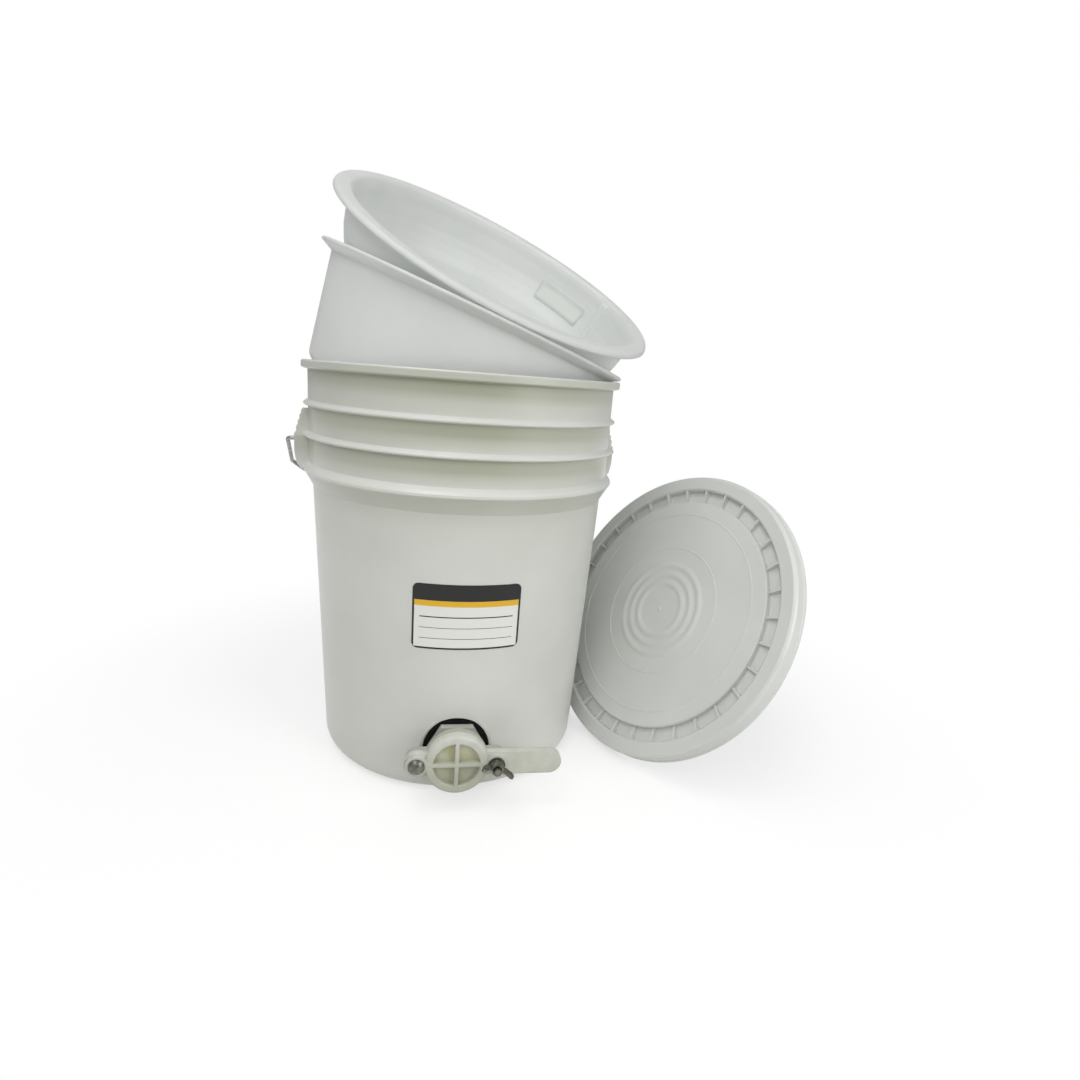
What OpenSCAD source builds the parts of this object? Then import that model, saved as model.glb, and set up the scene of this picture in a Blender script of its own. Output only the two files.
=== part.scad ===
// Honey bucket with gate: a moulded plastic pail with a bail, a swinging honey gate low on its front,
// two strainer inserts that lean in its mouth, one in the other, and its lid on the floor beside it.
// Millimetres, +Z up. The gate looks to -Y, +X is to its right, the origin is the middle of the base.

/* [Pail] */
// Overall height of the pail
bucket_h = 368; // [350:1:385]
// Outer radius of the rolled rim
rim_r = 147; // [142:0.5:152]
// Thickness of the moulded wall
wall = 2.3; // [1.8:0.1:2.8]
// How far the wall comes in from the shoulder to the base
taper = 10.9; // [8:0.1:13]
// Rounding between wall and base
base_round = 14.4; // [10:0.2:18]
// How far the plain rings under the rim stand out from the neck
rib_out = 5; // [4:0.5:6]

/* [Bail] */
// Turn of the two ears about the upright axis
ear_turn = 7.3; // [0:0.1:15]
// Width of an ear
ear_w = 28; // [22:1:34]
// Radius of the bail wire
wire_r = 1.8; // [1.5:0.1:2.2]
// Straight leg of the wire before it arches over
leg_len = 57; // [50:1:64]
// Radius of the hand grip
grip_r = 11; // [9:0.5:12]
// Length of the hand grip
grip_len = 96; // [84:2:104]
// How far out from the pail's shoulder the grip hangs
bail_off = 6.4; // [6:0.2:9]

/* [Gate] */
// Height of the gate's middle above the floor
gate_z = 46.4; // [46:0.2:56]
// Radius of the honey way through the gate
bore_r = 15.5; // [13:0.5:16.5]
// Outer radius of the threaded neck that goes through the wall
neck_r = 19; // [18:0.2:20]
// Hexagon flange, across its flats
hex_flats = 47.4; // [45:0.2:50]
// Thickness of the hexagon flange
hex_t = 6; // [5:0.5:9]
// Radius of the rubber gasket
gasket_r = 28.6; // [27.8:0.1:29.2]
// Thickness of the rubber gasket
gasket_t = 3; // [2:0.5:4]
// Length of the round barrel between flange and face plate
barrel_l = 5; // [4.5:0.5:9]
// Thickness of the face plate and its lugs
plate_t = 6; // [5:0.5:8]
// Radius of the blade's disc
disc_r = 27; // [25:0.5:28]
// Distance of the pivot and of the clamp stud from the gate's middle
stud_x = 33.6; // [33:0.2:36]
// Length of the blade to the end of its handle, from the gate's middle
handle_x = 90; // [80:1:100]
// Height of the blade's handle and lug
handle_h = 21; // [19:0.5:22]
// Thickness of the blade's handle and lug
blade_t = 6.5; // [5:0.5:8]
// How far the blade's ring stands in front of the handle
ring_rise = 2.2; // [1:0.2:3]
// Radius of the pivot bolt and of the clamp stud
bolt_r = 3.1; // [2.5:0.1:3.4]
// Turn of the wings of the wing nut
wing_turn = -17; // [-60:1:60]

/* [Strainers] */
// Lean of the lower strainer as it stands in the mouth of the pail
strainer_tilt = 20.4; // [18:0.1:22]
// Turn of that lean about the upright axis
strainer_turn = -12.5; // [-18:0.5:-6]
// Shift of the lower strainer towards its low side
strainer_shift = 9.9; // [9.6:0.1:10.2]
// How far the lower strainer's flange reaches over the mouth of the pail
flange_over = 5.3; // [4.8:0.1:5.6]
// Depth of the lower strainer under its flange
strainer_h = 96; // [92:0.5:96.5]
// Lean of the upper strainer in the lower one
upper_tilt = 17.3; // [15.5:0.1:18.5]
// Turn of that lean about the lower strainer's axis
upper_turn = -71.5; // [-80:0.5:-60]
// Shift of the upper strainer across the lower one
upper_shift = 2.3; // [1:0.1:3.5]
// Depth of the upper strainer under its lip
upper_h = 83.5; // [80:0.5:86]
// How far the flared lip reaches out past the lower strainer's wall
lip_out = 17.9; // [15:0.1:19]
// Thickness of the strainers' walls
strainer_wall = 2.2; // [1.8:0.1:2.6]
// Thickness of the strainer cloth
mesh_t = 0.5; // [0.4:0.1:0.8]

/* [Lid] */
// Height of the lid's skirt
skirt_h = 16; // [14:0.5:20]
// Lean of the lid away from the pail
lid_lean = 26.4; // [22:0.1:30]
// Turn of the lid's lean about the upright axis
lid_turn = 22.9; // [18:0.1:26]
// Where the lid's foot stands, as a turn about the pail
lid_foot_turn = -17.8; // [-20:0.1:-10]
// Space between the lid's edge and the wall of the pail
lid_gap = 0.6; // [0.5:0.1:0.9]
// Thickness of the lid
lid_wall = 2.2; // [1.8:0.1:2.6]
// Number of stiffening ribs in the lid's ring channel
lid_ribs = 32; // [24:2:40]

/* [Fits] */
// Space between pieces that move past each other
clear = 0.4; // [0.3:0.05:0.6]
// Running fit of a wire, bolt or stud in its hole
run_fit = 0.08; // [0.05:0.01:0.1]

/* [Hidden] */
$fn = 96;
rib2_z = bucket_h - 37;
rib3_z = bucket_h - 64;
rib4_z = bucket_h - 93;
ear_z = bucket_h - 70;
shoulder_z = bucket_h - 101;
shoulder_r = rim_r - 8.7;
base_r = shoulder_r - taper;
neck_out = rim_r - 5.5;
rib4_r = rim_r - 0.2;
rim_in = neck_out - wall;
rim_edge = rim_in + 1.5;
ear_r = rim_r + 6;
ear_in = neck_out - wall / 2;
ear_top = 20.5;
shoulder_drop = 17;

function wall_out(z) = base_r + taper * z / shoulder_z;
function arc(x, y, r, a0, a1, n) =
    [for (i = [0:n]) let(a = a0 + (a1 - a0) * i / n) [x + r * cos(a), y + r * sin(a)]];
function ring_rib(z, r) = [
    [neck_out, z - 2.4],
    [r - 0.9, z - 1.3],
    [r, z - 0.5],
    [r, z + 0.5],
    [r - 0.9, z + 1.3],
    [neck_out, z + 3.4]
];

// bail, in its own plane: sideways from the middle and out from the ear axis
grip_p = sqrt(pow(ear_r - 2, 2) + pow(bucket_h - ear_z, 2)) + grip_r + 1;
leg_s = ear_r + wire_r + 4.7;
bend_r = 4;
flat_s = grip_len / 2 + 4;
arch_half = 22;
arch_dx = leg_s - flat_s;
arch_dy = grip_p - leg_len;
arch_chord = sqrt(pow(arch_dx, 2) + pow(arch_dy, 2));
arch_r = arch_chord / (2 * sin(arch_half));
arch_a = atan2(arch_dx, arch_dy) - arch_half;
bail_drop = acos((shoulder_r + bail_off + grip_r) / grip_p);

// gate, measured outwards from the upright axis
seat_y = wall_out(gate_z) - 1.2;
seat_t = wall + 0.3;
seat_r = gasket_r + 3;
seat_lip = 1.3;
flange_y = seat_y + gasket_t;
barrel_y = flange_y + hex_t;
plate_y = barrel_y + barrel_l;
face_y = plate_y + plate_t;
blade_y = face_y + clear;
handle_y = blade_y + blade_t;
ring_y = handle_y + ring_rise;
floor_y = blade_y + blade_t / 2;
ring_in = disc_r - 7.4;
seat_hole_r = neck_r + clear;
nut_t = 8;
washer_t = 1.2;
washer_y = ring_y + clear;
wing_y = washer_y + washer_t + clear;
wing_hub_h = 6.5;
thread_gap = 0.5;
thread_travel = 4;
stud_end = wing_y + wing_hub_h + thread_travel;
lug_r = handle_h / 2 - 1;

// lower strainer, in its own frame: the underside of the flange's edge is at 0
flange_r = rim_edge + flange_over;
flange_top = 3;
basket_r = rim_in - 3.5;
mouth_r = basket_r - strainer_wall;
floor_r = basket_r - 8.7;
floor_round = 8;
ledge = 11;
ring_t = 2;
mesh_r = floor_r - floor_round - 3;
strainer_side = concat(
    arc(floor_r - floor_round, floor_round - strainer_h, floor_round, -75, 0, 5),
    [[basket_r, -5],
     [flange_r - 0.8, 0],
     [flange_r, 0.6]]);
strainer_probe = [for (i = [0:len(strainer_side) - 2], t = [0:0.1:0.9])
    strainer_side[i] * (1 - t) + strainer_side[i + 1] * t];
function rim_under(q) = q > rim_r + clear ? -1000
    : q > rim_edge ? bucket_h
    : q > rim_in - clear ? bucket_h - (rim_edge - q)
    : -1000;
strainer_z = clear + max([for (i = [0:90], p = strainer_probe)
    let(a = 2 * i)
    let(x = strainer_shift + p[0] * cos(a) * cos(strainer_tilt) + p[1] * sin(strainer_tilt))
    let(z = p[1] * cos(strainer_tilt) - p[0] * cos(a) * sin(strainer_tilt))
    rim_under(sqrt(pow(x, 2) + pow(p[0] * sin(a), 2))) - z]);

// upper strainer, in its own frame: the top of its lip is at 0
upper_r = basket_r + 3.3;
upper_floor_r = floor_r - 9;
upper_mesh_r = upper_floor_r - floor_round - 3;
lip_r = basket_r + lip_out;
lip_drop = 4.4;
upper_side = concat(
    arc(upper_floor_r - floor_round, floor_round - upper_h, floor_round, -90, 0, 6),
    [[upper_r - 14, -56],
     [upper_r - 9, -48],
     [upper_r - 5.4, -40],
     [upper_r - 2.2, -30],
     [upper_r + 0.4, -14],
     [upper_r + 1.8, -9],
     [upper_r + 4, -5],
     [upper_r + 7.5, -2.6],
     [lip_r - 4.2, -2.4],
     [lip_r - strainer_wall, -lip_drop],
     [lip_r, -lip_drop]]);
basket_slope = (basket_r - floor_r) / (strainer_h - 7 - floor_round);
function under(q) = q > flange_r + clear ? -1000
    : q > mouth_r - clear ? flange_top
    : max(strainer_wall + mesh_t + ring_t - strainer_h, -7 - (mouth_r - clear - q) / basket_slope);
upper_z = clear + max([for (i = [0:180], p = upper_side)
    let(a = 2 * i)
    let(x = p[0] * cos(a) * cos(upper_tilt) + p[1] * sin(upper_tilt))
    let(y = p[0] * sin(a))
    let(z = p[1] * cos(upper_tilt) - p[0] * cos(a) * sin(upper_tilt))
    let(u = upper_shift + x * cos(upper_turn) - y * sin(upper_turn))
    let(v = x * sin(upper_turn) + y * cos(upper_turn))
    under(sqrt(u * u + v * v)) - z]);

// lid, in its own frame: the top of its rim is at 0
skirt_in = rim_r + 2;
lid_r = skirt_in + lid_wall;
plug_out = rim_in - 1.7;
chan_out = plug_out - lid_wall;
chan_in = chan_out - 13.5;
chan_deep = 8;
lid_mid = -1.2;
ripple_in = 23;
ripple_p = 10.2;
ripple_h = 1.4;
lid_side = [
    [lid_r - 3, 0],
    [lid_r - 0.9, -0.9],
    [lid_r, -3],
    [lid_r, -skirt_h + 3],
    [lid_r + 1, -skirt_h + 2],
    [lid_r + 1, -skirt_h]
];
function keep_off(z) = lid_gap + (z < rib4_z - shoulder_drop ? wall_out(z) : ear_r);
lid_foot_r = max([for (i = [0:179], p = lid_side)
    let(a = 2 * i)
    let(u = lid_r + p[0] * cos(a))
    let(v = skirt_h + p[1])
    let(x = u * sin(lid_lean) - v * cos(lid_lean))
    let(y = p[0] * sin(a))
    let(z = clear + u * cos(lid_lean) + v * sin(lid_lean))
    let(turn = lid_turn - lid_foot_turn)
    let(along = x * cos(turn) - y * sin(turn))
    let(side = x * sin(turn) + y * cos(turn))
    let(left = pow(keep_off(z), 2) - pow(side, 2))
    left < 0 ? 0 : sqrt(left) - along]);

// Where the gate's pieces sit: across, up and outwards from the upright axis
module at_gate() {
    translate([0, 0, gate_z]) rotate([90, 0, 0]) children();
}

// Where the bail's pieces sit: sideways, then out from the ear axis, hanging at the back
module at_bail() {
    translate([0, 0, ear_z]) rotate([0, 0, ear_turn]) rotate([-90 - bail_drop, 0, 0]) children();
}

// Where the lower strainer stands: leaning on the rim
module at_strainer() {
    rotate([0, 0, strainer_turn])
        translate([strainer_shift, 0, strainer_z]) rotate([0, strainer_tilt, 0]) children();
}

// Where the upper strainer stands: leaning in the lower one, its lip on the lower one's flange
module at_upper() {
    at_strainer() translate([upper_shift, 0, upper_z]) rotate([0, 0, upper_turn]) rotate([0, upper_tilt, 0])
        children();
}

// Where the lid stands: on its edge on the floor, leaning away from the pail
module at_lid() {
    rotate([0, 0, lid_foot_turn]) translate([lid_foot_r, 0, clear])
        rotate([0, 0, lid_turn - lid_foot_turn])
            rotate([0, lid_lean - 90, 0]) translate([lid_r, 0, skirt_h]) children();
}

// One ear: a stepped block between the rings with a blind hole for the end of the wire
module ear() {
    rotate([90, 0, 0]) linear_extrude(ear_w, center = true) polygon([
        [ear_in, rib4_z - 3],
        [ear_r - 5.7, rib4_z - 3],
        [ear_r - 1.7, rib4_z + 2.5],
        [ear_r, rib4_z + 12],
        [ear_r, rib3_z - 0.5],
        [ear_r - 1.8, rib3_z + 1],
        [ear_r - 1.8, rib3_z + 6],
        [ear_r - 3.3, rib3_z + 6],
        [ear_r - 3.3, rib3_z + 11],
        [ear_r - 4.8, rib3_z + 11],
        [ear_r - 4.8, rib3_z + 16],
        [ear_r - 6.3, rib3_z + 16],
        [ear_r - 6.3, rib3_z + ear_top],
        [ear_in, rib3_z + ear_top]
    ]);
}

// Moulded pail: rolled rim, three rings, two ears, flat seat and hole for the gate
module bucket_shell() {
    fillet_x = wall_out(base_round) - base_round;
    outer = concat(
        [[0, 0]],
        arc(fillet_x, base_round, base_round, -90, 0, 8),
        [[wall_out(rib4_z - shoulder_drop), rib4_z - shoulder_drop],
         [rib4_r - 1.6, rib4_z - 4.2],
         [rib4_r, rib4_z - 2.2],
         [rib4_r, rib4_z - 0.2],
         [rib4_r - 1.4, rib4_z + 2],
         [neck_out, rib4_z + 5.2]],
        ring_rib(rib3_z, neck_out + rib_out),
        ring_rib(rib2_z, neck_out + rib_out - 1),
        [[neck_out, bucket_h - 8],
         [rim_r - 1, bucket_h - 6.8],
         [rim_r, bucket_h - 5.8],
         [rim_r, bucket_h - 1.2],
         [rim_r - 1.2, bucket_h]]);
    inner = concat(
        [[rim_edge, bucket_h],
         [rim_in, bucket_h - 1.5],
         [rim_in, rib4_z + 6],
         [wall_out(rib4_z - shoulder_drop) - wall, rib4_z - shoulder_drop]],
        arc(fillet_x, base_round, base_round - wall, 0, -90, 8),
        [[0, wall]]);
    color([0.78, 0.79, 0.75]) difference() {
        union() {
            rotate_extrude() polygon(concat(outer, inner));
            rotate([0, 0, ear_turn]) ear();
            rotate([0, 0, ear_turn + 180]) ear();
            at_gate() translate([0, 0, seat_y - seat_t - seat_lip])
                cylinder(r = seat_r, h = seat_t + 2 * seat_lip);
        }
        at_gate() translate([0, 0, seat_y]) cylinder(r = seat_r - wall, h = 12);
        at_gate() translate([0, 0, seat_y - seat_t - 20]) cylinder(r = seat_r - wall, h = 20);
        at_gate() translate([0, 0, seat_y - seat_t - 5]) cylinder(r = seat_hole_r, h = seat_t + 10);
        for (t = [0, 180])
            translate([0, 0, ear_z]) rotate([0, 0, ear_turn + t]) rotate([0, 90, 0])
                translate([0, 0, ear_r - 9]) cylinder(r = wire_r + run_fit, h = 12);
    }
}

// One side of the bail: pin in the ear, tight bend, straight leg and arch
module bail_side() {
    translate([ear_r - 8.6, 0, 0]) rotate([0, 90, 0])
        cylinder(r = wire_r, h = leg_s - bend_r - ear_r + 8.6);
    translate([leg_s - bend_r, 0, bend_r]) rotate([90, 0, 0])
        rotate([0, 0, -90]) rotate_extrude(angle = 90) translate([bend_r, 0]) circle(r = wire_r);
    translate([leg_s, 0, bend_r]) cylinder(r = wire_r, h = leg_len - bend_r);
    translate([leg_s, 0, leg_len]) sphere(r = wire_r + 0.02);
    translate([leg_s, 0, leg_len]) rotate([90, 0, 0]) rotate([0, 0, arch_a])
        translate([-arch_r, 0]) rotate_extrude(angle = 2 * arch_half)
            translate([arch_r, 0]) circle(r = wire_r);
    translate([flat_s, 0, grip_p]) sphere(r = wire_r + 0.02);
}

// Steel bail wire, arched, with a straight run for the grip
module bail_wire() {
    color([0.55, 0.56, 0.54]) at_bail() {
        bail_side();
        rotate([0, 0, 180]) bail_side();
        translate([-flat_s, 0, grip_p]) rotate([0, 90, 0]) cylinder(r = wire_r, h = 2 * flat_s);
    }
}

// Plastic hand grip, a tube that turns on the wire
module bail_grip() {
    color([0.86, 0.87, 0.84]) at_bail() translate([-grip_len / 2, 0, grip_p]) rotate([0, 90, 0])
        rotate_extrude() polygon([
            [wire_r + run_fit, 0],
            [grip_r - 2, 0],
            [grip_r, 2],
            [grip_r, grip_len - 2],
            [grip_r - 2, grip_len],
            [wire_r + run_fit, grip_len]
        ]);
}

// Gate body: threaded neck, hexagon flange, barrel and face plate with two lugs
module gate_body() {
    hex_r = hex_flats / 2 / cos(30);
    color([0.83, 0.84, 0.81]) at_gate() difference() {
        union() {
            translate([0, 0, seat_y - seat_t - nut_t - 4])
                cylinder(r = neck_r, h = gasket_t + seat_t + nut_t + 5);
            translate([0, 0, flange_y]) cylinder(r = hex_r, h = hex_t, $fn = 6);
            translate([0, 0, barrel_y - 1]) cylinder(r = neck_r + 2.5, h = barrel_l + 2);
            translate([0, 0, plate_y]) cylinder(r = disc_r - 0.5, h = plate_t);
            for (s = [-1, 1])
                translate([s * stud_x, 0, plate_y]) cylinder(r = lug_r, h = plate_t);
            translate([-stud_x, -lug_r, plate_y]) cube([2 * stud_x, 2 * lug_r, plate_t]);
        }
        translate([0, 0, seat_y - seat_t - nut_t - 5]) cylinder(r = bore_r, h = 80);
        for (s = [-1, 1])
            translate([s * stud_x, 0, plate_y - 1]) cylinder(r = bolt_r + 0.02, h = plate_t + 2);
    }
}

// Black rubber ring between the wall and the hexagon flange
module gate_gasket() {
    color([0.07, 0.07, 0.07]) at_gate() translate([0, 0, seat_y]) difference() {
        cylinder(r = gasket_r, h = gasket_t);
        translate([0, 0, -1]) cylinder(r = neck_r + 0.1, h = gasket_t + 2);
    }
}

// Hexagon nut on the threaded neck, inside the pail
module gate_locknut() {
    color([0.83, 0.84, 0.81]) at_gate() translate([0, 0, seat_y - seat_t - nut_t]) difference() {
        cylinder(r = gasket_r - 1, h = nut_t, $fn = 6);
        translate([0, 0, -1]) cylinder(r = neck_r + 0.05, h = nut_t + 2);
    }
}

// Swinging blade: disc with a raised ring and cross, a lug round the pivot, a handle, an open slot,
// and a raised pad under each fastener
module gate_blade() {
    hole_r = bolt_r + run_fit;
    reach = 2 * stud_x;
    slot = bolt_r + clear + 0.4;
    cut_t = ring_y - blade_y + 2;
    color([0.85, 0.86, 0.83]) at_gate() difference() {
        union() {
            rotate_extrude() polygon([
                [0, blade_y],
                [disc_r, blade_y],
                [disc_r, ring_y - 2],
                [disc_r - 0.6, ring_y - 0.6],
                [disc_r - 2, ring_y],
                [ring_in + 0.8, ring_y],
                [ring_in, ring_y - 0.8],
                [ring_in, floor_y],
                [0, floor_y]
            ]);
            translate([-1.8, -ring_in - 1, blade_y + 1]) cube([3.6, 2 * ring_in + 2, ring_y - blade_y - 1]);
            translate([-ring_in - 1, -1.8, blade_y + 1]) cube([2 * ring_in + 2, 3.6, ring_y - blade_y - 1]);
            for (s = [-1, 1])
                translate([s * stud_x, 0, blade_y]) cylinder(r = lug_r, h = ring_y - blade_y);
            difference() {
                union() {
                    translate([-stud_x, 0, blade_y]) cylinder(r = handle_h / 2, h = blade_t);
                    translate([-stud_x, -handle_h / 2, blade_y])
                        cube([handle_x - handle_h / 2 + stud_x, handle_h, blade_t]);
                    translate([handle_x - handle_h / 2, 0, blade_y])
                        cylinder(r = handle_h / 2, h = blade_t);
                }
                translate([0, 0, blade_y - 1]) cylinder(r = ring_in + 1, h = blade_t + 2);
            }
        }
        translate([-stud_x, 0, blade_y - 1]) cylinder(r = hole_r, h = cut_t);
        translate([stud_x, 0, blade_y - 1]) cylinder(r = slot, h = cut_t);
        translate([-stud_x, 0, blade_y - 1]) rotate([0, 0, -20])
            rotate_extrude(angle = 20) translate([reach - slot, 0]) square([2 * slot, cut_t]);
    }
}

// Round-headed pivot bolt through the blade's lug and the face plate
module pivot_bolt() {
    head_y = ring_y + clear;
    color([0.42, 0.42, 0.41]) at_gate() translate([-stud_x, 0, 0]) rotate_extrude() polygon(concat(
        [[0, plate_y - 8], [bolt_r, plate_y - 8], [bolt_r, head_y], [7, head_y], [7, head_y + 1]],
        arc(0, head_y + 4.4 - 8.7, 8.7, 38, 90, 8)));
}

// Hexagon nut of the pivot bolt, behind the face plate
module pivot_nut() {
    color([0.45, 0.45, 0.44]) at_gate() translate([-stud_x, 0, plate_y - 5]) difference() {
        cylinder(r = bolt_r * 1.95, h = 5, $fn = 6);
        translate([0, 0, -1]) cylinder(r = bolt_r + 0.02, h = 7);
    }
}

// Clamp stud: hexagon-headed bolt from behind, its thread stands out in front
module clamp_bolt() {
    color([0.45, 0.45, 0.44]) at_gate() translate([stud_x, 0, 0]) union() {
        translate([0, 0, plate_y - 4.2]) cylinder(r = bolt_r * 1.95, h = 4.2, $fn = 6);
        translate([0, 0, plate_y - 2]) cylinder(r = bolt_r, h = stud_end - plate_y + 2);
    }
}

// Flat washer between blade and wing nut
module clamp_washer() {
    color([0.50, 0.50, 0.49]) at_gate() translate([stud_x, 0, washer_y]) difference() {
        cylinder(r = 7.2, h = washer_t);
        translate([0, 0, -1]) cylinder(r = bolt_r + run_fit, h = washer_t + 2);
    }
}

// Wing nut that clamps the blade shut
module wing_nut() {
    color([0.40, 0.40, 0.39]) at_gate() translate([stud_x, 0, wing_y]) rotate([0, 0, wing_turn])
        difference() {
            union() {
                cylinder(r1 = 6.4, r2 = 5.2, h = wing_hub_h);
                for (t = [0, 180])
                    rotate([0, 0, t]) rotate([90, 0, 0]) linear_extrude(2.4, center = true) polygon([
                        [3.6, 0.6],
                        [8, 1.4],
                        [12.6, 6],
                        [14.2, 10.4],
                        [13, 12.6],
                        [10.4, 12],
                        [7.4, 8],
                        [3.6, 6.2]
                    ]);
            }
            translate([0, 0, -1]) cylinder(r = bolt_r + thread_gap, h = wing_hub_h + 8);
        }
}

// Lower strainer: flange that sits on the rim, tapered basket with an open floor
module strainer_shell() {
    w = strainer_wall;
    color([0.86, 0.88, 0.86]) at_strainer() rotate_extrude() polygon(concat(
        [[floor_r - floor_round - ledge, -strainer_h],
         [floor_r - floor_round, -strainer_h]],
        strainer_side,
        [[flange_r, 1.8],
         [flange_r - 1.2, flange_top - 0.2],
         [mouth_r + 1, flange_top],
         [mouth_r, flange_top - 1],
         [mouth_r, -7]],
        arc(floor_r - floor_round, -strainer_h + floor_round, floor_round - w, 0, -75, 5),
        [[floor_r - floor_round, -strainer_h + w],
         [floor_r - floor_round - ledge, -strainer_h + w]]));
}

// Fine strainer cloth, lying on the ledge round the lower strainer's open floor
module strainer_mesh() {
    color([0.90, 0.90, 0.86]) at_strainer() translate([0, 0, -strainer_h + strainer_wall])
        cylinder(r = mesh_r, h = mesh_t);
}

// Ring that is welded over the fine cloth's edge
module strainer_mesh_ring() {
    color([0.86, 0.88, 0.86]) at_strainer()
        translate([0, 0, -strainer_h + strainer_wall + mesh_t]) difference() {
            cylinder(r = mesh_r, h = ring_t);
            translate([0, 0, -1]) cylinder(r = mesh_r - ledge + 3, h = ring_t + 2);
        }
}

// Upper strainer: broad flared lip, round-bottomed basket with an open floor
module upper_strainer_shell() {
    w = strainer_wall;
    color([0.87, 0.89, 0.87]) at_upper() rotate_extrude() polygon(concat(
        [[upper_floor_r - floor_round - ledge, -upper_h]],
        upper_side,
        arc(lip_r - 4.4, -4.4, 4.4, 12, 90, 5),
        [[upper_r + 2.4, 0],
         [upper_r + 0.2, -0.8],
         [upper_r - 1.4, -2.8],
         [upper_r - w, -7],
         [upper_r - w, -14],
         [upper_r - 2.4 - w, -29.6],
         [upper_r - 5.5 - w, -39],
         [upper_r - 9 - w, -46.8],
         [upper_r - 13.8 - w, -54.6]],
        arc(upper_floor_r - floor_round, floor_round - upper_h, floor_round - w, 0, -90, 6),
        [[upper_floor_r - floor_round - ledge, -upper_h + w]]));
}

// Coarse strainer cloth, lying on the ledge round the upper strainer's open floor
module upper_strainer_mesh() {
    color([0.90, 0.90, 0.86]) at_upper() translate([0, 0, -upper_h + strainer_wall])
        cylinder(r = upper_mesh_r, h = mesh_t);
}

// Ring that is welded over the coarse cloth's edge
module upper_strainer_ring() {
    color([0.87, 0.89, 0.87]) at_upper()
        translate([0, 0, -upper_h + strainer_wall + mesh_t]) difference() {
            cylinder(r = upper_mesh_r, h = ring_t);
            translate([0, 0, -1]) cylinder(r = upper_mesh_r - ledge + 3, h = ring_t + 2);
        }
}

// Lid: rippled middle, ring channel with stiffening ribs, rim cap and skirt
module lid_shell() {
    t = lid_wall;
    color([0.78, 0.79, 0.75]) at_lid() union() {
        rotate_extrude() polygon(concat(
            [[0, lid_mid + 0.9], [1.6, lid_mid + 0.9], [2.4, lid_mid]],
            [for (i = [0:24])
                [ripple_in + ripple_p * i / 8, lid_mid + ripple_h * (1 - cos(45 * i)) / 2]],
            [for (r = [chan_in * 0.558, chan_in * 0.875])
                each [[r - 0.9, lid_mid],
                    [r - 0.4, lid_mid + 0.5],
                    [r + 0.4, lid_mid + 0.5],
                    [r + 0.9, lid_mid]]],
            [[chan_in - 1.2, lid_mid],
             [chan_in, lid_mid - 1.2],
             [chan_in, -chan_deep],
             [chan_out, -chan_deep],
             [chan_out, -1.6],
             [chan_out + 1.6, 0]],
            lid_side,
            [[skirt_in, -skirt_h],
             [skirt_in, -t],
             [plug_out, -t],
             [plug_out, -chan_deep - t],
             [chan_in - t, -chan_deep - t],
             [chan_in - t, lid_mid - t],
             [0, lid_mid - t]]));
        for (i = [0:lid_ribs - 1])
            rotate([0, 0, (i + 0.5) * 360 / lid_ribs]) rotate([90, 0, 0])
                linear_extrude(2.2, center = true) polygon([
                    [chan_in - 1, -chan_deep - 1],
                    [chan_out + 1, -chan_deep - 1],
                    [chan_out + 1, -1.4],
                    [chan_out - 2.6, -1.8],
                    [chan_in - 1, 2.4 - chan_deep]
                ]);
    }
}

// Rubber ring under the lid's rim cap
module lid_gasket() {
    color([0.12, 0.12, 0.12]) at_lid() translate([0, 0, -lid_wall - 1.6]) difference() {
        cylinder(r = skirt_in - 0.6, h = 1.6);
        translate([0, 0, -1]) cylinder(r = plug_out + 2.6, h = 4);
    }
}

bucket_shell();
bail_wire();
bail_grip();
gate_body();
gate_gasket();
gate_locknut();
gate_blade();
pivot_bolt();
pivot_nut();
clamp_bolt();
clamp_washer();
wing_nut();
strainer_shell();
strainer_mesh();
strainer_mesh_ring();
upper_strainer_shell();
upper_strainer_mesh();
upper_strainer_ring();
lid_shell();
lid_gasket();
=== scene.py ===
import math

import bpy
from mathutils import Matrix, Vector


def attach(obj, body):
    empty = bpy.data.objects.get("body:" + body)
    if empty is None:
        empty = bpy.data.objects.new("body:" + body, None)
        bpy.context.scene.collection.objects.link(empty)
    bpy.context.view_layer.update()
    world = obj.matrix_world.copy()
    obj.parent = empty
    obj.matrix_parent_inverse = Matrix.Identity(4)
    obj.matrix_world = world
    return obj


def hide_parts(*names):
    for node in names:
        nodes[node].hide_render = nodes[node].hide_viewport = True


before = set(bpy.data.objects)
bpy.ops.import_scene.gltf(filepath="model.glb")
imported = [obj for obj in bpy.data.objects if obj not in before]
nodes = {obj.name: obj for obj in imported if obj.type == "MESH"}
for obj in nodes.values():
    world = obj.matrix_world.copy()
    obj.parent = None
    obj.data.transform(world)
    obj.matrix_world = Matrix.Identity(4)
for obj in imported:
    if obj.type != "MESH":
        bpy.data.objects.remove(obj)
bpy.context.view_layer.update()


# The studio: a pale sweep of paper under and behind the pail, three soft boxes and a camera with a wide lens
# that stands a little over the rim and looks down at the pail's front.
def deselect():
    if bpy.context.mode != "OBJECT":
        bpy.ops.object.mode_set(mode="OBJECT")
    bpy.ops.object.select_all(action="DESELECT")


def linear(hex_colour):
    parts = [int(hex_colour[i:i + 2], 16) / 255 for i in (1, 3, 5)]
    return [c / 12.92 if c <= 0.04045 else ((c + 0.055) / 1.055) ** 2.4 for c in parts] + [1.0]


def add_node(tree, kind, inputs=None, **settings):
    made = tree.nodes.new(kind)
    for name, value in settings.items():
        setattr(made, name, value)
    for socket, value in (inputs or {}).items():
        if isinstance(value, bpy.types.NodeSocket):
            tree.links.new(value, made.inputs[socket])
        else:
            made.inputs[socket].default_value = value
    return made


def start_material(name):
    made = bpy.data.materials.new(name)
    made.use_nodes = True
    made.node_tree.nodes.clear()
    return made, made.node_tree


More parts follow.
